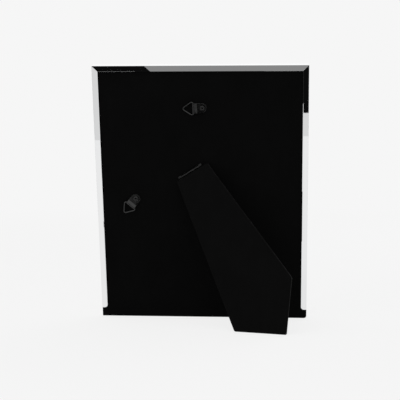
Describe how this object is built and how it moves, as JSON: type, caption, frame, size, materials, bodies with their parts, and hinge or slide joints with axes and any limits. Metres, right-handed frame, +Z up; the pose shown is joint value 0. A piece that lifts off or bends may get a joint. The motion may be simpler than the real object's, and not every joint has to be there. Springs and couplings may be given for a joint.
{
  "type": "easel-back metal photo frame",
  "caption": "Polished metal photo frame on a velvet easel back: mitred folded rails, slide-out board, hinged two-way strut and swivelling ring hangers.",
  "frame": {"origin": "on the surface that the frame stands on, in the middle of the bounding box across X and Y, with the easel open", "axes": "+Z up; the glass faces -Y and leans back by 12.7 degrees; the easel strut stands behind it at +Y; +X is to the right seen from the front"},
  "size_m": [0.2064, 0.1006, 0.2518],
  "materials": {
    "polished_metal": "mirror-polished nickel plate on folded steel sheet",
    "clear_glass": "clear picture glass with ground edges",
    "print_paper": "bare photographic paper",
    "grey_card": "uncoated grey backing card",
    "brown_hardboard": "brown hardboard",
    "black_velvet": "short black velvet pile glued to board",
    "blackened_steel": "black-finished steel, rubbed to a dull shine on the barrel",
    "dark_plated_steel": "dark gunmetal plating"
  },
  "bodies": {
    "frame": {"top_rail": "polished_metal", "bottom_rail": "polished_metal", "left_rail": "polished_metal", "right_rail": "polished_metal", "glass_pane": "clear_glass", "photo_insert": "print_paper", "backing_card": "grey_card"},
    "back": {"back_board": "brown_hardboard", "board_velvet": "black_velvet", "hinge_board_leaf": "blackened_steel", "hinge_pin": "blackened_steel", "hinge_board_rivet_1": "blackened_steel", "hinge_board_rivet_2": "blackened_steel", "top_hanger_eyelet": "dark_plated_steel", "side_hanger_eyelet": "dark_plated_steel"},
    "strut": {"strut_core": "brown_hardboard", "strut_velvet": "black_velvet", "strut_lining": "black_velvet", "hinge_strut_leaf": "blackened_steel", "hinge_strut_rivet_1": "blackened_steel", "hinge_strut_rivet_2": "blackened_steel"},
    "top_strap": {"top_hanger_strap": "dark_plated_steel"},
    "top_ring": {"top_hanger_ring": "dark_plated_steel"},
    "side_strap": {"side_hanger_strap": "dark_plated_steel"},
    "side_ring": {"side_hanger_ring": "dark_plated_steel"}
  },
  "joints": [
    {"name": "back_slide", "type": "slide", "parent": "frame", "child": "back", "axis": [0, -0.2198, -0.9755], "range_m": [0, 0.245]},
    {"name": "strut_fold", "type": "hinge", "parent": "back", "child": "strut", "pos_m": [0.022, -0.00802, 0.14163], "axis": [-0.8453, 0.1175, 0.5213], "range_deg": [0, 28.2]},
    {"name": "top_strap_swivel", "type": "hinge", "parent": "back", "child": "top_strap", "pos_m": [-0.0018, 0.00532, 0.21008], "axis": [0, 0.9755, -0.2198], "continuous": true},
    {"name": "top_ring_swing", "type": "hinge", "parent": "top_strap", "child": "top_ring", "pos_m": [0.00649, 0.00697, 0.20941], "axis": [0.0349, 0.2197, 0.9749], "range_deg": [0, 150]},
    {"name": "side_strap_swivel", "type": "hinge", "parent": "back", "child": "side_strap", "pos_m": [0.065, -0.01455, 0.12189], "axis": [0, 0.9755, -0.2198], "continuous": true},
    {"name": "side_ring_swing", "type": "hinge", "parent": "side_strap", "child": "side_ring", "pos_m": [0.07033, -0.01424, 0.1153], "axis": [0.766, 0.1413, 0.6271], "range_deg": [0, 150]}
  ]
}
